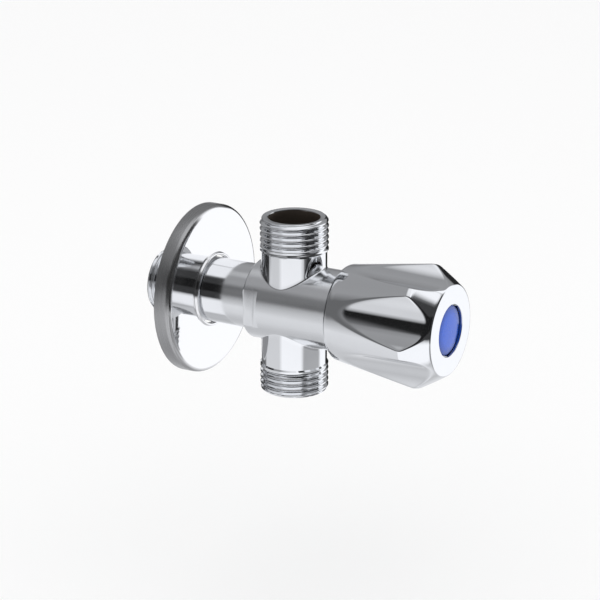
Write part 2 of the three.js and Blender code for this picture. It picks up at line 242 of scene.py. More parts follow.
def geometry_tree(name, inputs):
    """A geometry tree with named inputs, as (nodes, {input name: socket})."""
    tree = bpy.data.node_groups.new(name, "GeometryNodeTree")
    kinds = {float: "NodeSocketFloat", int: "NodeSocketInt", bpy.types.Object: "NodeSocketObject",
             bpy.types.Material: "NodeSocketMaterial"}
    for label, kind in inputs.items():
        tree.interface.new_socket(label, in_out="INPUT", socket_type=kinds[kind])
    tree.interface.new_socket("Geometry", in_out="OUTPUT", socket_type="NodeSocketGeometry")
    nodes = Nodes(tree)
    group_in = tree.nodes.new("NodeGroupInput")
    return nodes, {label: Socket(nodes, group_in.outputs[label]) for label in inputs}


def grid_fields(nodes, rows, columns):
    """A unit grid, with the fields that run from 0 to 1 over its rows and its columns."""
    grid = nodes.add("GeometryNodeMeshGrid", None, Size_X=1.0, Size_Y=1.0, Vertices_X=rows + 1.0,
                     Vertices_Y=columns + 1.0)
    x, y, _ = nodes.parts(nodes.add("GeometryNodeInputPosition").outputs[0])
    return grid.outputs["Mesh"], x + 0.5, y + 0.5


def close_tree(nodes, mesh, place, material):
    """Moves the grid onto its surface, merges its seam and ends the tree."""
    moved = nodes.add("GeometryNodeSetPosition", None, Geometry=mesh, Position=place)
    merged = nodes.add("GeometryNodeMergeByDistance", None, Geometry=moved.outputs[0],
                       Distance=MERGE / 2)
    real = nodes.add("GeometryNodeRealizeInstances", None, Geometry=merged.outputs[0])
    done = nodes.add("GeometryNodeSetMaterial", None, Geometry=real.outputs[0], Material=material)
    group_out = nodes.tree.nodes.new("NodeGroupOutput")
    nodes.tree.links.new(done.outputs[0], group_out.inputs[0])
    return nodes.tree


def thread_tree():
    """A right-handed thread about +Z, with its rows laid along the helix and trimmed flat."""
    nodes, at = geometry_tree("Helical thread", {
        "Start": float, "End": float, "Crest radius": float, "Depth": float, "Pitch": float,
        "Run-out": float, "Chamfer": float, "Rows per turn": int, "Columns": int,
        "Material": bpy.types.Material})
    turns = ((at["End"] - at["Start"]) / at["Pitch"]).math("CEIL") + 1.0
    rows = turns * at["Rows per turn"]
    mesh, u, v = grid_fields(nodes, rows, at["Columns"])
    row_turn = (u * rows).math("ROUND") / at["Rows per turn"]
    raw = at["Start"] + (row_turn - 1.0 + v) * at["Pitch"]
    z = nodes.clamp(raw, at["Start"], at["End"])
    phase = (z - at["Start"]) / at["Pitch"] - v
    rise = 0.5 + 0.5 * (phase * TAU).math("COSINE")
    fade = nodes.clamp((z - at["Start"]) / at["Run-out"], 0.0, 1.0)
    groove = at["Crest radius"] - at["Depth"] * (1.0 - rise) * fade
    cone = at["Crest radius"] - nodes.highest(z - at["End"] + at["Chamfer"], 0.0) * 0.75
    radius = nodes.lowest(groove, cone)
    angle = v * TAU
    place = nodes.vector(radius * angle.math("COSINE"), radius * angle.math("SINE"), z)
    return close_tree(nodes, mesh, place, at["Material"])


def knob_tree():
    """A closed outline turned about +X and scooped by evenly spaced concave flutes."""
    nodes, at = geometry_tree("Fluted knob", {
        "Outline": bpy.types.Object, "Outline points": int, "Flutes": int, "Columns": int,
        "Cut radius": float, "Floor start": float, "Floor end": float, "Station start": float,
        "Station end": float, "Edge softness": float, "Turn": float,
        "Material": bpy.types.Material})
    columns = at["Flutes"] * at["Columns"] * 2.0
    mesh, u, v = grid_fields(nodes, at["Outline points"], columns)
    outline = nodes.add("GeometryNodeObjectInfo", None, Object=at["Outline"])
    row = (u * at["Outline points"]).math("ROUND").math("MODULO", at["Outline points"])
    point = nodes.add("GeometryNodeSampleIndex", {"data_type": "FLOAT_VECTOR"},
                      Geometry=outline.outputs["Geometry"], Index=row,
                      Value=nodes.add("GeometryNodeInputPosition").outputs[0])
    station, radius, _ = nodes.parts(point.outputs[0])
    slope = (at["Floor end"] - at["Floor start"]) / (at["Station end"] - at["Station start"])
    floor = at["Floor start"] + slope * (station - at["Station start"])
    reach = floor + at["Cut radius"]
    cut2 = at["Cut radius"] * at["Cut radius"]
    # Half-angle at which the flute meets the outline, from the law of cosines.
    edge_cos = (radius * radius + reach * reach - cut2) / (2.0 * radius * reach)
    edge = nodes.highest(nodes.clamp(edge_cos, -1.0, 1.0).math("ARCCOSINE"), math.radians(7))
    # Columns gather towards that edge from the middle of the flute and of the ridge.
    along = v * at["Flutes"] * 2.0
    swing = along.math("PINGPONG", 1.0)
    from_edge = (swing * 2.0 - 1.0).math("ABSOLUTE").math("POWER", 1.7)
    half_step = math.pi / at["Flutes"]
    inside = edge * (1.0 - from_edge)
    outside = edge + (half_step - edge) * from_edge
    on_ridge = swing.math("GREATER_THAN", 0.5)
    spread = inside + (outside - inside) * on_ridge
    nearest = (along / 2.0).math("ROUND") * 2.0
    side = (along - nearest).math("SIGN")
    across = reach * spread.math("SINE")
    scoop = reach * spread.math("COSINE") - nodes.highest(cut2 - across * across, 0.0).math("SQRT")
    blend = nodes.highest(at["Edge softness"] - (radius - scoop).math("ABSOLUTE"), 0.0)
    soft = nodes.lowest(radius, scoop) - blend * blend / (4.0 * at["Edge softness"])
    angle = at["Turn"] + nearest * half_step + side * spread
    place = nodes.vector(station, soft * angle.math("COSINE"), soft * angle.math("SINE"))
    return close_tree(nodes, mesh, place, at["Material"])


def grown(tree, values):
    """The mesh that a geometry tree makes from those inputs, still in millimetres."""
    host = bpy.data.objects.new("host", bpy.data.meshes.new("host"))
    bpy.context.scene.collection.objects.link(host)
    modifier = host.modifiers.new("grow", "NODES")
    modifier.node_group = tree
    for socket in tree.interface.items_tree:
        if socket.in_out == "INPUT" and socket.name in values:
            modifier[socket.identifier] = values[socket.name]
    depsgraph = bpy.context.evaluated_depsgraph_get()
    mesh = bpy.data.meshes.new_from_object(host.evaluated_get(depsgraph))
    bpy.data.objects.remove(host)
    return mesh


# ---- Mesh building ----


def rounded(outline, steps=5):
    """An outline of (station, radius) or (station, radius, fillet) corners, with its arcs."""
    points = []
    count = len(outline)
    for i, corner in enumerate(outline):
        here = Vector(corner[:2])
        fillet = corner[2] if len(corner) > 2 else 0
        if not fillet:
            points.append(here)
            continue
        before = (Vector(outline[i - 1][:2]) - here).normalized()
        after = (Vector(outline[(i + 1) % count][:2]) - here).normalized()
        half = before.angle(after) / 2
        start = here + before * fillet / math.tan(half)
        end = here + after * fillet / math.tan(half)
        centre = here + (before + after).normalized() * fillet / math.sin(half)
        first, last = start - centre, end - centre
        sweep = first.angle_signed(last)
        for k in range(steps + 1):
            angle = math.atan2(first.y, first.x) - sweep * k / steps
            points.append(centre + fillet * Vector((math.cos(angle), math.sin(angle))))
    return points


def refined(outline, step):
    """A closed outline with its long stretches divided."""
    points = []
    for here, after in zip(outline, outline[1:] + outline[:1]):
        parts = max(1, math.ceil((after - here).length / step))
        points += [here.lerp(after, k / parts) for k in range(parts)]
    return points


def turns_of(columns):
    """Evenly spaced turns round a full circle."""
    return [TAU * k / columns for k in range(columns)]


def circle(station, radius, columns):
    """A ring of points about the X axis."""
    return [Vector((station, radius * math.sin(turn), radius * math.cos(turn)))
            for turn in turns_of(columns)]


def level_ring(radii, z):
    """A ring of points about the Z axis at one height, with a radius for each of them."""
    return [Vector((radius * math.cos(turn), radius * math.sin(turn), z))
            for radius, turn in zip(radii, turns_of(len(radii)))]


def skin(bm, rows, wrap=False):
    """Faces between rows of points, each closed on itself; wrap joins the last to the first."""
    made = [[bm.verts.new(point) for point in row] for row in rows]
    if wrap:
        made.append(made[0])
    for low, high in zip(made, made[1:]):
        for k in range(len(low)):
            after = (k + 1) % len(low)
            corners = [low[k], low[after], high[after], high[k]]
            bm.faces.new(corners)


def lathe(bm, outline, columns=96, closed=True):
    """A turned skin about the X axis. Points on the axis are merged later."""
    rows = [circle(p[0], max(p[1], 0.0), columns) for p in outline]
    skin(bm, rows, wrap=closed)


def add_mesh(bm, mesh, matrix):
    """Adds a grown mesh to the one being built."""
    mesh.transform(matrix)
    bm.from_mesh(mesh)
    bpy.data.meshes.remove(mesh)


def body_with(bm, name, material, sharp=35.0, shift_x=PORT_X):
    """A finished object from a mesh in millimetres: merged, outward, smooth and in metres."""
    bmesh.ops.remove_doubles(bm, verts=bm.verts, dist=MERGE)
    bmesh.ops.dissolve_degenerate(bm, edges=bm.edges, dist=MERGE / 10)
    bmesh.ops.recalc_face_normals(bm, faces=bm.faces)
    move = Matrix.Scale(MM, 4) @ Matrix.Translation((shift_x, 0, 0))
    bmesh.ops.transform(bm, matrix=move, verts=bm.verts)
    mesh = bpy.data.meshes.new(name)
    bm.to_mesh(mesh)
    bm.free()
    mesh.materials.append(material)
    mesh.polygons.foreach_set("use_smooth", [True] * len(mesh.polygons))
    mesh.polygons.foreach_set("material_index", [0] * len(mesh.polygons))
    mesh.set_sharp_from_angle(angle=math.radians(sharp))
    piece = bpy.data.objects.new(name, mesh)
    bpy.context.scene.collection.objects.link(piece)
    return piece


def keep(piece, body, nodes):
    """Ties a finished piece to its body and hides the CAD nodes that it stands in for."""
    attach(piece, body)
    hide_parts(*nodes)


# ---- Materials ----


def principled(name, **inputs):
    """A material with a Principled shader, as (material, nodes, shader node)."""
    material = bpy.data.materials.new(name)
    material.use_nodes = True
    nodes = Nodes(material.node_tree)
    shader = material.node_tree.nodes["Principled BSDF"]
    for label, value in inputs.items():
        nodes.feed(shader.inputs[label.replace("_", " ")], value)
    return material, nodes, shader


def object_place(nodes):
    """Object coordinates in millimetres."""
    coordinates = nodes.add("ShaderNodeTexCoord").outputs["Object"]
    mapped = nodes.add("ShaderNodeVectorMath", {"operation": "MULTIPLY"}, _0=coordinates,
                       _1=(1 / MM, 1 / MM, 1 / MM))
    return nodes.out(mapped)


def noise(nodes, place, size, detail=2.0):
    """Noise from 0 to 1 whose features are about size millimetres across."""
    node = nodes.add("ShaderNodeTexNoise", None, Vector=place, Scale=1.0 / size, Detail=detail)
    return nodes.out(node)


def bumped(nodes, shader, height, depth):
    """Feeds a height field into the shader's normal; depth is in millimetres."""
    bump = nodes.add("ShaderNodeBump", None, Height=height, Distance=depth * MM, Strength=1.0)
    nodes.feed(shader.inputs["Normal"], bump.outputs[0])


def chrome_plate(name, brushed=None):
    """Bright chrome with a faint polish haze; brushed gives a field that is 1 where it's dull."""
    finish = bpy.context.scene.valve_finish
    material, nodes, shader = principled(name, Metallic=1.0)
    place = object_place(nodes)
    haze = noise(nodes, place, 6.0, 3.0)
    fine = noise(nodes, place, 0.35, 4.0)
    rough = finish.chrome_rough * (0.6 + 0.8 * haze) + 0.02 * fine
    if brushed:
        x, y, z = nodes.parts(place)
        mask = brushed(nodes, x, (y * y + z * z).math("SQRT"))
        lines = noise(nodes, nodes.vector(x * 8.0, y * 0.1, z * 0.1), 1.0, 3.0)
        rough = rough + mask * (0.06 + 0.1 * lines)
        bumped(nodes, shader, mask * lines, 0.004)
    nodes.feed(shader.inputs["Roughness"], rough)
    tint = tuple(finish.chrome) + (1,)
    dull = tuple(c * 0.96 for c in finish.chrome) + (1,)
    nodes.feed(shader.inputs["Base Color"], nodes.mix(haze, tint, dull))
    return material


def brushed_body(nodes, x, radius):
    """1 on the round body, less on the front of the barrel and 0 on the polished outlets."""
    inside = nodes.clamp((BODY_R + 0.25 - radius) / 0.2, 0.0, 1.0)
    along = x - PORT_X
    barrel = nodes.clamp((along - BRUSHED_FROM) / 1.5, 0.0, 1.0)
    body = nodes.clamp((along - SHOULDER + 2.0) / 2.0, 0.0, 1.0)
    return inside * (0.45 * barrel + 0.55 * body)


def stainless_cover():
    """Polished stainless whose rolled rim keeps the fine lines of the brush, round the axis, and
    is painted darker along them as a painted dark reflection.
    """
    finish = bpy.context.scene.valve_finish
    material, nodes, shader = principled("escutcheon_stainless", Metallic=1.0)
    place = object_place(nodes)
    x, y, z = nodes.parts(place)
    radius = (y * y + z * z).math("SQRT")
    rim = nodes.clamp((radius - (COVER_R - 0.9)) / 0.6, 0.0, 1.0)
    around = z.math("ARCTAN2", y)
    lines = noise(nodes, nodes.vector(x * 26.0, around * 1.2, 0.0), 1.0, 3.0)
    haze = noise(nodes, place, 8.0, 2.0)
    rough = 0.03 + 0.03 * haze + rim * (0.14 + 0.16 * lines)
    nodes.feed(shader.inputs["Roughness"], rough)
    # Painted reflection: the rolled rim's colour is darkened along the brush lines, standing in
    # for the dark line that the rim reflects; the lines' roughness and bump are real.
    bright = tuple(finish.stainless) + (1,)
    dark = tuple(c * 0.28 for c in finish.stainless) + (1,)
    nodes.feed(shader.inputs["Base Color"], nodes.mix(rim * (0.5 + 0.5 * lines), bright, dark))
    bumped(nodes, shader, rim * lines, 0.012)
    return material


def turned_metal(name, colour, rough, line_depth):
    """Bare metal with the fine rings that a lathe tool leaves round the X axis."""
    material, nodes, shader = principled(name, Metallic=1.0)
    place = object_place(nodes)
    x, y, z = nodes.parts(place)
    radius = (y * y + z * z).math("SQRT")
    rings = noise(nodes, nodes.vector(x * 9.0, radius * 9.0, 0.0), 1.0, 3.0)
    stain = noise(nodes, place, 3.5, 4.0)
    base = tuple(colour) + (1,)
    worn = tuple(c * 0.72 for c in colour) + (1,)
    nodes.feed(shader.inputs["Base Color"], nodes.mix(stain, base, worn))
    nodes.feed(shader.inputs["Roughness"], rough * (0.7 + 0.6 * rings) + 0.08 * stain)
    bumped(nodes, shader, rings, line_depth)
    return material


def moulded(name, colour, rough, grain, mottle=0.12):
    """A moulded or pressed non-metal with a fine grain and slight mottling."""
    material, nodes, shader = principled(name, Specular_IOR_Level=0.4)
    place = object_place(nodes)
    spots = noise(nodes, place, 1.6, 4.0)
    fine = noise(nodes, place, 0.18, 3.0)
    base = tuple(colour) + (1,)
    dark = tuple(c * (1 - 2 * mottle) for c in colour) + (1,)
    nodes.feed(shader.inputs["Base Color"], nodes.mix(spots, base, dark))
    nodes.feed(shader.inputs["Roughness"], rough + 0.15 * (fine - 0.5))
    bumped(nodes, shader, fine, grain)
    return material


def index_blue():
    """Glossy blue moulding with faint moulding flow, lighter in the middle and deeper towards its
    edge as a painted highlight.
    """
    finish = bpy.context.scene.valve_finish
    material, nodes, shader = principled("index_blue", Coat_Roughness=0.12, IOR=1.42)
    place = object_place(nodes)
    _, y, z = nodes.parts(place)
    radius = (y * y + z * z).math("SQRT")
    # Painted highlight: the blue is lighter in the middle and darker towards the edge, standing in
    # for the reflection of the bright room.
    edge = nodes.clamp((radius - 4.5) / 3.0, 0.0, 1.0)
    flow = noise(nodes, place, 2.4, 2.0)
    painted_lit_middle = tuple(finish.blue) + (1,)
    rim = tuple(c * 0.42 for c in finish.blue) + (1,)
    nodes.feed(shader.inputs["Base Color"], nodes.mix(edge * 0.8 + flow * 0.2, painted_lit_middle, rim))
    nodes.feed(shader.inputs["Roughness"], 0.22 + 0.08 * flow)
    nodes.feed(shader.inputs["Coat Weight"], 0.2 + 0.1 * flow)
    bumped(nodes, shader, noise(nodes, place, 0.5, 2.0), 0.004)
    return material


# ---- Valve body ----

BODY_R = 12.35
BARREL_R = 10.05
PORT_R = 10.03
PORT_BORE = 7.85
CHAMBER_R = 8.6
HEAD_BORE = 9.3
INLET_BORE = 7.2
SEAT_BORE = 5.5
SHOULDER = -11.8
BRUSHED_FROM = -22.8
BODY_FRONT = 18.0
FLATS_END = -6.6
FLATS_HALF = 10.95
CHAMBER_START, CHAMBER_END = -10.1, 8.0
TOP_THREAD, BOTTOM_THREAD = 10.0, 8.6
RIM_BREAK = 0.12  # broken outer edge of an outlet's rim
PORT_COLUMNS = 192  # round each outlet
FRONT_COLUMNS = 120  # round the body's knob end
BACK_COLUMNS = 96  # round the barrel end


def junction(body_r, port_r, fillet):
    """Curves where an upright round port meets a round body, with a rolling-ball fillet."""
    centres, on_body, on_port = [], [], []
    for k in range(PORT_COLUMNS):
        turn = TAU * k / PORT_COLUMNS
        reach = port_r + fillet
        x, y = reach * math.cos(turn), reach * math.sin(turn)
        z = math.sqrt((body_r + fillet) ** 2 - y * y)
        shrink = body_r / (body_r + fillet)
        centres.append(Vector((x, y, z)))
        on_body.append(Vector((x, y * shrink, z * shrink)))
        on_port.append(Vector((port_r * math.cos(turn), port_r * math.sin(turn), z)))
    return centres, on_body, on_port


def half_skin(bm, hole, radius, start, end, rings, up):
    """The upper or lower half of a cylinder about X, from start to end, around a port's hole."""
    back, front = BACK_COLUMNS // 2, FRONT_COLUMNS // 2
    side = (PORT_COLUMNS - back - front) // 2
    border = [(end, (k / front - 0.5) * math.pi) for k in range(front)]
    border += [(end + (start - end) * k / side, math.pi / 2) for k in range(side)]
    border += [(start, (0.5 - k / back) * math.pi) for k in range(back)]
    border += [(start + (end - start) * k / side, -math.pi / 2) for k in range(side)]
    border = border[front // 2:] + border[:front // 2]
    rows = []
    for ring in range(rings + 1):
        share = (ring / rings) ** 1.4
        row = []
        for inner, (x1, turn1) in zip(hole, border):
            turn0 = math.asin(inner.y / radius)
            x = inner.x + (x1 - inner.x) * share
            turn = turn0 + (turn1 - turn0) * share
            row.append(Vector((x, radius * math.sin(turn), up * radius * math.cos(turn))))
        rows.append(row)
    skin(bm, rows)


def grown_thread(tree, start, end, chamfer, columns, material):
    """A G 1/2 thread about +Z, whose grooves run out at its start."""
    return grown(tree, {
        "Start": start, "End": end, "Crest radius": chosen("thread_r"),
        "Depth": chosen("thread_depth"), "Pitch": chosen("thread_pitch"),
        "Run-out": chosen("thread_pitch"), "Chamfer": chamfer, "Rows per turn": 12,
        "Columns": columns, "Material": material})


def outlet(bm, up, end_z, thread_length, threads, material):
    """The outside of one outlet: fillet, plain stub and thread."""
    fillet = chosen("junction_r")
    centres, on_body, on_port = junction(BODY_R, PORT_R, fillet)
    half_skin(bm, on_body, BODY_R, SHOULDER + 0.4, BODY_FRONT - 0.4, 12, up)
    flip = Matrix.Identity(4) if up > 0 else Matrix.Rotation(math.pi, 4, "X")
    steps = 6
    rows = []
    for i in range(steps + 1):
        row = []
        for centre, low, high in zip(centres, on_body, on_port):
            arm = (low - centre).lerp(high - centre, i / steps).normalized() * fillet
            row.append(centre + arm)
        rows.append(row)
    start = end_z - thread_length
    for i in range(1, 9):
        rows.append([p.lerp(Vector((p.x, p.y, start - 0.45)), i / 8) for p in on_port])
    rows.append(level_ring([chosen("thread_r")] * PORT_COLUMNS, start))
    skin(bm, [[flip @ p for p in row] for row in rows])
    thread = grown_thread(threads, start, end_z - RIM_BREAK, 0.85, PORT_COLUMNS, material)
    add_mesh(bm, thread, flip)


def edge_loop(bm, on_plane, turn):
    """The points of a trimmed thread's last row, in order of their turn, one per column."""
    points = sorted((v.co.copy() for v in bm.verts if on_plane(v.co)), key=turn)
    kept = [p for p, before in zip(points, [None] + points)
            if before is None or (p - before).length > MERGE]
    if (kept[0] - kept[-1]).length < MERGE:
        kept.pop()
    return kept


def full_turn(y, x):
    """The turn of (x, y) from 0 to a full circle, where a hair below 0 still counts as 0."""
    return (math.atan2(y, x) + 1e-4) % TAU


def bore_and_rim(bm, up, end_z):
    """The outlet's flat rim, its broken inner edge and its bore down to the chamber."""
    flip = Matrix.Identity(4) if up > 0 else Matrix.Rotation(math.pi, 4, "X")
    _, inner, _ = junction(CHAMBER_R, PORT_BORE, 0.0)
    half_skin(bm, inner, CHAMBER_R, CHAMBER_START, CHAMBER_END, 3, up)
    edge = edge_loop(bm, lambda p: abs(p.z * up - (end_z - RIM_BREAK)) < 1e-3
                     and p.xy.length > PORT_BORE + 1, lambda p: full_turn(p.y * up, p.x))
    edge = [flip @ p for p in edge]
    lip = level_ring([PORT_BORE] * PORT_COLUMNS, end_z - 0.35)
    rows = [edge, level_ring([p.xy.length - RIM_BREAK for p in edge], end_z),
            level_ring([PORT_BORE + 0.35] * PORT_COLUMNS, end_z),
            level_ring([PORT_BORE + 0.1] * PORT_COLUMNS, end_z - 0.1), lip]
    rows += [[a.lerp(b, i / 12) for a, b in zip(lip, inner)] for i in range(1, 13)]
    skin(bm, [[flip @ p for p in row] for row in rows])


class VALVE_OT_body(bpy.types.Operator):
    """Build the chromed body with its three threads, fillets, wrench flats and waterway"""

    bl_idname = "valve.body"
    bl_label = "Valve Body"

    def execute(self, context):
        chrome = chrome_plate("body_chrome", brushed_body)
        threads = thread_tree()
        bm = bmesh.new()
        for up, end_z, length in ((1, TOP_Z, TOP_THREAD), (-1, BOTTOM_Z, BOTTOM_THREAD)):
            outlet(bm, up, end_z, length, threads, chrome)
            bore_and_rim(bm, up, end_z)
        thread_end = 3.0 - PORT_X  # 3 mm in front of the wall
        lathe(bm, rounded([(thread_end, chosen("thread_r")), (thread_end + 0.45, BARREL_R),
                           (SHOULDER - 1, BARREL_R), (SHOULDER, BARREL_R, 0.25),
                           (SHOULDER, BODY_R, 0.4), (SHOULDER + 0.4, BODY_R)], 4),
              BACK_COLUMNS, closed=False)
        turn = Matrix.Rotation(-math.pi / 2, 4, "Y")
        length = thread_end - INLET_END
        thread = grown_thread(threads, 0.0, length - 0.1, 1.1, BACK_COLUMNS, chrome)
        add_mesh(bm, thread, Matrix.Translation((thread_end, 0, 0)) @ turn)
        self.inlet_rim(bm)
        lathe(bm, rounded([(CHAMBER_START, CHAMBER_R), (CHAMBER_START, 6.7),
                           (CHAMBER_START + 0.8, 6.7, 0.2), (CHAMBER_START + 0.8, SEAT_BORE, 0.3),
                           (INLET_BORE - SEAT_BORE - 17, SEAT_BORE), (-17, INLET_BORE),
                           (INLET_END + 0.5, INLET_BORE)], 3), BACK_COLUMNS, closed=False)
        lathe(bm, rounded([(BODY_FRONT - 0.4, BODY_R), (BODY_FRONT, BODY_R, 0.39),
                           (BODY_FRONT, HEAD_BORE, 0.2), (CHAMBER_END, HEAD_BORE),
                           (CHAMBER_END, CHAMBER_R)], 4), FRONT_COLUMNS, closed=False)
        body = body_with(bm, "chromed_body", chrome)
        self.cut_flats(body)
        self.line_waterway(body)
        self.crease_shoulders(body)
        keep(body, "valve", ["valve_body"])
        return {"FINISHED"}

    def inlet_rim(self, bm):
        """Closes the inlet thread's trimmed end with a flat ring and a broken inner edge."""
        plane = INLET_END + 0.1
        edge = edge_loop(bm, lambda p: abs(p.x - plane) < 1e-3, lambda p: full_turn(p.y, p.z))
        rim = [Vector((INLET_END, (p.yz.length - 0.1) * math.sin(t),
                       (p.yz.length - 0.1) * math.cos(t)))
               for p, t in zip(edge, turns_of(BACK_COLUMNS))]
        skin(bm, [edge, rim, circle(INLET_END, INLET_BORE + 0.35, BACK_COLUMNS),
                  circle(INLET_END + 0.1, INLET_BORE + 0.1, BACK_COLUMNS),
                  circle(INLET_END + 0.5, INLET_BORE, BACK_COLUMNS)])

    def crease_shoulders(self, body):
        """Marks the step where each outlet thread starts as a sharp edge."""
        mesh = body.data
        starts = (TOP_Z - TOP_THREAD, BOTTOM_THREAD - BOTTOM_Z)
        on_step = [any(abs(v.co.z / MM - z) < 0.01 for z in starts) for v in mesh.vertices]
        sharp = mesh.attributes["sharp_edge"].data
        for edge in mesh.edges:
            if all(on_step[v] for v in edge.vertices):
                sharp[edge.index].value = True

    def line_waterway(self, body):
        """Gives the waterway unplated brass, darkened well below the brass's own colour as painted
        shade inside the bores.
        """
        # Painted shade: this brass colour is made dark to stand in for the shade inside the bores,
        # on top of the real unplated brass.
        body.data.materials.append(turned_metal("waterway_brass", (0.2, 0.165, 0.14), 0.5, 0.01))
        for face in body.data.polygons:
            x, y, z = face.center / MM
            across = math.hypot(y, z)
            in_port = math.hypot(x - PORT_X, y) < PORT_BORE + 0.02 and across > CHAMBER_R - 0.1
            if in_port or across < INLET_BORE + 0.02 or CHAMBER_START + PORT_X < x < (
                    BODY_FRONT + PORT_X - 1) and across < HEAD_BORE + 0.02:
                face.material_index = 1

    def cut_flats(self, body):
        """Mills the two wrench flats."""
        bm = bmesh.new()
        for side in (-1, 1):
            block = bmesh.ops.create_cube(bm, size=1.0)["verts"]
            centre = Vector((PORT_X + (SHOULDER - 2 + FLATS_END) / 2,
                             side * (FLATS_HALF + 2), 0)) * MM
            size = Vector((FLATS_END - SHOULDER + 2, 4, 2 * BODY_R)) * MM
            matrix = Matrix.Translation(centre) @ Matrix.Diagonal(size.to_4d())
            bmesh.ops.transform(bm, matrix=matrix, verts=block)
        mesh = bpy.data.meshes.new("flat_cutter")
        bm.to_mesh(mesh)
        bm.free()
        cutter = bpy.data.objects.new("flat_cutter", mesh)
        bpy.context.scene.collection.objects.link(cutter)
        cut = body.modifiers.new("flats", "BOOLEAN")
        cut.operation = "DIFFERENCE"
        cut.object = cutter
        cut.solver = "EXACT"
        depsgraph = bpy.context.evaluated_depsgraph_get()
        result = bpy.data.meshes.new_from_object(body.evaluated_get(depsgraph))
        body.modifiers.clear()
        old, body.data = body.data, result
        bpy.data.meshes.remove(old)
        bpy.data.objects.remove(cutter)
        body.data.set_sharp_from_angle(angle=math.radians(30))


# ---- Escutcheon ----


class VALVE_OT_escutcheon(bpy.types.Operator):
    """Build the stamped stainless escutcheon with its rolled rim and lip"""

    bl_idname = "valve.escutcheon"
    bl_label = "Escutcheon"

    def execute(self, context):
        face, hole, lip = 5.5, 10.8, 11.5  # the cover's stations are measured from the wall
        outline = rounded([
            (COVER_BACK, COVER_R, 0.25), (face, COVER_R, 1.8), (face, lip, 0.35),
            (COVER_FRONT, lip, 0.3), (COVER_FRONT, hole, 0.3), (face - 1, hole),
            (face - 1, COVER_R - 1, 0.8), (COVER_BACK, COVER_R - 1, 0.2)], 8)
        bm = bmesh.new()
        lathe(bm, outline, 256)
        cover = body_with(bm, "stamped_cover", stainless_cover(), shift_x=0.0)
        keep(cover, "escutcheon", ["escutcheon"])
        return {"FINISHED"}


# ---- Knob ----

RIDGE_R = 18.85
FACE_R = 13.8


class VALVE_OT_knob(bpy.types.Operator):
    """Build the six-fluted chromed knob from its turned outline"""

    bl_idname = "valve.knob"
    bl_label = "Fluted Knob"

    def execute(self, context):
        chrome = chrome_plate("knob_chrome")
        ridge = FACE - 7.8
        skirt_arc = [(SKIRT + 2 - 2 * math.cos(math.radians(a)),
                      13.3 + 1.6 * math.sin(math.radians(a))) for a in range(0, 88, 8)]
        outline = refined(rounded(
            [(SKIRT, 12.85), *skirt_arc, (SKIRT + 3, 15.05, 2.0), (ridge, RIDGE_R, 3.0),
             (FACE, FACE_R, 0.8), (FACE, 7.95, 0.15), (FACE - 2.9, 7.95), (FACE - 2.9, 6.1),
             (FACE - 6.3, 6.1), (FACE - 6.3, 2.4), (FACE - 8.5, 2.4), (FACE - 8.5, 6.3),
             (FACE - 17.1, 6.3), (FACE - 17.1, 8.6), (FACE - 10.2, 8.6), (FACE - 10.2, 12.05),
             (FACE - 11, 12.85)], 8), 0.7)
        guide = bpy.data.meshes.new("outline")
        guide.from_pydata([(p[0], p[1], 0.0) for p in outline], [], [])
        host = bpy.data.objects.new("outline", guide)
        context.scene.collection.objects.link(host)
        mesh = grown(knob_tree(), {
            "Outline": host, "Outline points": len(outline),
            "Flutes": context.scene.valve_sizes.flutes, "Columns": 26, "Cut radius": 15.2,
            "Floor start": 15.35, "Floor end": 14.45, "Station start": 22.0,
            "Station end": 51.5, "Edge softness": chosen("flute_soft"),
            "Turn": math.radians(180 - 19.5), "Material": chrome})
        bpy.data.objects.remove(host)
        bm = bmesh.new()
        add_mesh(bm, mesh, Matrix.Identity(4))
        knob = body_with(bm, "fluted_knob", chrome, sharp=50.0)
        keep(knob, "handle", ["handle"])
        return {"FINISHED"}


class VALVE_OT_button(bpy.types.Operator):
    """Build the blue index button in the knob's face"""

    bl_idname = "valve.button"
    bl_label = "Index Button"

    def execute(self, context):
        back = BUTTON_FACE - 2.2
        dome = [(BUTTON_FACE - 0.5 * (r / 7.2) ** 3, r) for r in (7.2, 6.8, 6.2, 5.5, 4.5, 3, 1.5)]
        outline = rounded([
            (back, 0), (back, 4.9), (BUTTON_BACK, 4.9, 0.2), (BUTTON_BACK, 5.8, 0.2),
            (back, 5.8), (back, 7.65, 0.2), (BUTTON_FACE - 0.8, 7.65, 0.2), *dome,
            (BUTTON_FACE, 0)])
        bm = bmesh.new()
        lathe(bm, outline, 128, closed=False)
        button = body_with(bm, "blue_index_button", index_blue())
        keep(button, "handle", ["index_button"])
        return {"FINISHED"}


# ---- Pieces inside the waterway ----


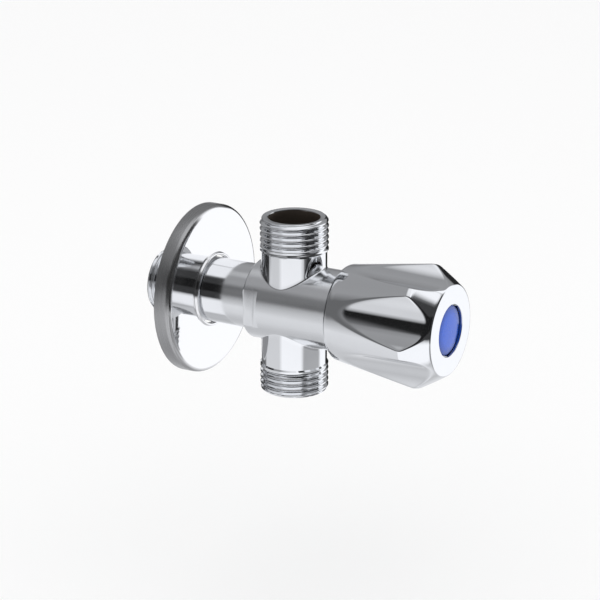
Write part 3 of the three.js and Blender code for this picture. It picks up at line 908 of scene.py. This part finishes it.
class VALVE_OT_plunger(bpy.types.Operator):
    """Build the plunger, its rubber washer, plate and ring"""

    bl_idname = "valve.plunger"
    bl_label = "Plunger and Seat Washer"

    def execute(self, context):
        brass = turned_metal("bare_brass_plunger", context.scene.valve_finish.brass, 0.28, 0.006)
        steel = turned_metal("plain_steel", (0.56, 0.57, 0.58), 0.3, 0.004)
        rubber = moulded("black_rubber", (0.022, 0.022, 0.024), 0.62, 0.01)
        start, end = PLUNGER_START, PLUNGER_END
        ring_x = start + 16.5
        bm = bmesh.new()
        lathe(bm, rounded([
            (start, 6.8), (start, 7.5, 0.2), (start + 4.2, 7.5, 0.3), (start + 5.2, 5.2, 0.6),
            (start + 7.5, 5.2, 0.5), (start + 8.5, 5.65), (start + 13.9, 5.65),
            (start + 13.9, 6.65, 0.2), (ring_x - 0.9, 6.65, 0.15), (ring_x - 0.9, 5.3),
            (ring_x + 0.9, 5.3), (ring_x + 0.9, 6.65, 0.15), (start + 18.2, 6.65, 0.2),
            (start + 18.2, 5.65), (start + 18.25, 5.65), (end, 5.65, 0.3), (end, 4.25),
            (start + 8.5, 4.25), (start + 8.5, 3.4), (start + 7, 2.25),
            (WASHER_END + 0.1, 2.25), (WASHER_END + 0.1, 6.8)], 4), 96)
        for vert in bm.verts:  # the guide's hexagon, with corners up and down
            if vert.co.x > start + 18.2 + MERGE and vert.co.yz.length > 5:
                turn = math.atan2(vert.co.y, vert.co.z) % (math.pi / 3)
                vert.co.yz = vert.co.yz / math.cos(turn - math.pi / 6)
        plunger = body_with(bm, "brass_plunger", brass)
        keep(plunger, "plunger", ["plunger"])

        bm = bmesh.new()
        lathe(bm, rounded([(WASHER_START, 2.25), (WASHER_START, 6.5, 0.35),
                           (WASHER_END, 6.5, 0.2), (WASHER_END, 2.25)]), 96)
        keep(body_with(bm, "rubber_seat_washer", rubber), "plunger", ["seat_washer"])

        bm = bmesh.new()
        lathe(bm, rounded([(PLATE_START, 2.25), (PLATE_START, 4.6, 0.15), (PLATE_END, 4.6, 0.15),
                           (PLATE_END, 2.25)]), 96)
        keep(body_with(bm, "washer_plate", steel), "plunger", ["seat_washer_plate"])

        bm = bmesh.new()
        ring = [(ring_x + 0.72 * math.cos(TAU * k / 20), 6.12 + 0.72 * math.sin(TAU * k / 20))
                for k in range(20)]
        lathe(bm, ring, 96)
        keep(body_with(bm, "piston_ring", rubber), "plunger", ["plunger_o_ring"])
        return {"FINISHED"}


HIDDEN = {  # carried-over CAD nodes, each with its material
    "headwork_body": "brass", "spindle": "brass", "handle_insert": "brass",
    "spindle_circlip": "steel", "handle_lock_washer": "steel", "handle_screw": "steel",
    "seat_washer_screw": "steel", "spindle_o_ring_inner": "rubber",
    "spindle_o_ring_outer": "rubber", "headwork_gasket": "fibre", "thrust_washer": "nylon",
    "circlip_washer": "nylon",
}


class VALVE_OT_inner(bpy.types.Operator):
    """Give the headwork's enclosed pieces their materials"""

    bl_idname = "valve.inner"
    bl_label = "Enclosed Pieces"

    def execute(self, context):
        materials = {
            "brass": turned_metal("bare_brass", context.scene.valve_finish.brass, 0.3, 0.006),
            "steel": turned_metal("spring_steel", (0.5, 0.51, 0.52), 0.32, 0.003),
            "rubber": moulded("ring_rubber", (0.02, 0.02, 0.022), 0.6, 0.008),
            "fibre": moulded("red_fibre", (0.36, 0.07, 0.04), 0.85, 0.03),
            "nylon": moulded("natural_nylon", (0.78, 0.75, 0.66), 0.45, 0.006, 0.04),
        }
        for node, kind in HIDDEN.items():
            mesh = frame["nodes"][node].data
            mesh.materials.clear()
            mesh.materials.append(materials[kind])
        return {"FINISHED"}


# ---- Stage ----

AIM = Vector((36.77, -1.43, 1.82)) * MM
AZIMUTH = math.radians(28.97)
ELEVATION = math.radians(18.72)
DISTANCE = 698.4 * MM
LENS = 138.0
FLOOR_DROP = 60 * MM  # clear air under the lower outlet
EVEN_LIGHT = 1.06  # level of the light that isn't seen in reflections
BACKDROP = [  # elevation in degrees and level, from straight down to straight up
    (-90, 0.9), (-62, 0.6), (-45, 0.78), (-25, 0.84), (-8, 0.5), (5, 0.2), (20, 0.3), (40, 0.36),
    (58, 0.34), (70, 0.95), (90, 1.05)]
CARDS = [  # azimuth from -Y towards +X, then elevation, each (low, high); softness; level
    (-82, -28, 0, 37, 12, 0.15), (-140, -90, -30, 10, 10, 0.15), (0, 125, -14, 54, 8, 0.05),
    (-26, 60, 9, 34, 4, 0.012), (-27, -13, -40, 6, 8, 0.75), (-20, 56, -90, -15, 12, 1.12),
    (64, 128, -19.3, 2, 2, 0.035), (60, 125, -50, -19.3, 7, 0.34), (132, 158, -40, 62, 8, 1.15),
    (134, 175, -32, 2, 8, 1.15), (40, 130, 56, 82, 5, 1.1),
    (170, 200, -26, 17, 5, 0.02), (-200, -158, -26, 17, 5, 0.02)]


class VALVE_OT_stage(bpy.types.Operator):
    """Set up the pale floor, the studio light and the camera"""

    bl_idname = "valve.stage"
    bl_label = "Stage"

    def execute(self, context):
        scene = context.scene
        self.world(scene)
        self.floor(scene)
        self.camera(scene)
        scene.view_settings.view_transform = "Standard"
        return {"FINISHED"}

    def world(self, scene):
        """Even white light, with the studio's dark and bright cards in reflections only."""
        world = bpy.data.worlds.new("studio")
        scene.world = world
        world.use_nodes = True
        nodes = Nodes(world.node_tree)
        direction = nodes.add("ShaderNodeTexCoord").outputs["Generated"]
        x, y, z = nodes.parts(direction)
        azimuth = x.math("ARCTAN2", -y) * math.degrees(1)
        elevation = nodes.clamp(z, -1.0, 1.0).math("ARCSINE") * math.degrees(1)
        ramp = nodes.add("ShaderNodeValToRGB", None, Fac=elevation / 180.0 + 0.5)
        stops = ramp.color_ramp.elements
        stops[0].position, stops[1].position = 0.0, 1.0
        for height, _ in BACKDROP[1:-1]:
            stops.new(height / 180 + 0.5)
        for stop, (_, level) in zip(stops, BACKDROP):
            stop.color = (level, level, level, 1)
        light = nodes.out(ramp)
        for left, right, low, high, soft, card in CARDS:
            share = 1.0
            for value, start, end in ((azimuth, left, right), (elevation, low, high)):
                share = share * nodes.clamp((value - start) / soft + 0.5, 0.0, 1.0)
                share = share * nodes.clamp((end - value) / soft + 0.5, 0.0, 1.0)
            light = light + (card - light) * share
        glossy = nodes.out(nodes.add("ShaderNodeLightPath"), "Is Glossy Ray")
        background = world.node_tree.nodes["Background"]
        tint = nodes.mix(glossy, (1, 1, 1, 1), (0.96, 0.97, 1, 1))
        nodes.feed(background.inputs["Color"], tint)
        nodes.feed(background.inputs["Strength"], EVEN_LIGHT + (light - EVEN_LIGHT) * glossy)

    def floor(self, scene):
        material, nodes, shader = principled("pale_floor", Roughness=0.6)
        nodes.feed(shader.inputs["Base Color"], (0.97, 0.97, 0.97, 1))
        bm = bmesh.new()
        bmesh.ops.create_grid(bm, x_segments=1, y_segments=1, size=3.0)
        mesh = bpy.data.meshes.new("floor")
        bm.to_mesh(mesh)
        bm.free()
        mesh.materials.append(material)
        floor = bpy.data.objects.new("floor", mesh)
        floor.location.z = -BOTTOM_Z * MM - FLOOR_DROP
        floor.visible_glossy = False
        scene.collection.objects.link(floor)

    def camera(self, scene):
        data = bpy.data.cameras.new("camera")
        data.lens = LENS
        data.sensor_width = 36.0
        camera = bpy.data.objects.new("camera", data)
        back = Vector((math.sin(AZIMUTH) * math.cos(ELEVATION),
                       -math.cos(AZIMUTH) * math.cos(ELEVATION), math.sin(ELEVATION)))
        camera.location = AIM + back * DISTANCE
        camera.rotation_euler = back.to_track_quat("Z", "Y").to_euler()
        scene.collection.objects.link(camera)
        scene.camera = camera


STEPS = ["body", "escutcheon", "knob", "button", "plunger", "inner", "stage"]


class VALVE_PT_panel(bpy.types.Panel):
    """Builders of the valve's pieces"""

    bl_idname = "VALVE_PT_panel"
    bl_label = "Angle Stop Valve"
    bl_space_type = "VIEW_3D"
    bl_region_type = "UI"
    bl_category = "Valve"

    def draw(self, context):
        for step in STEPS:
            self.layout.operator(f"valve.{step}")
        for group in (context.scene.valve_sizes, context.scene.valve_finish):
            for name in group.bl_rna.properties.keys():
                if name not in ("rna_type", "name"):
                    self.layout.prop(group, name)


CLASSES = [ValveSizes, ValveFinish, VALVE_OT_body, VALVE_OT_escutcheon, VALVE_OT_knob,
           VALVE_OT_button, VALVE_OT_plunger, VALVE_OT_inner, VALVE_OT_stage, VALVE_PT_panel]


def register():
    for cls in CLASSES:
        bpy.utils.register_class(cls)
    bpy.types.Scene.valve_sizes = PointerProperty(type=ValveSizes)
    bpy.types.Scene.valve_finish = PointerProperty(type=ValveFinish)


def unregister():
    del bpy.types.Scene.valve_finish
    del bpy.types.Scene.valve_sizes
    for cls in reversed(CLASSES):
        bpy.utils.unregister_class(cls)


def main():
    register()
    for step in STEPS:
        getattr(bpy.ops.valve, step)()


if __name__ == "__main__":
    main()
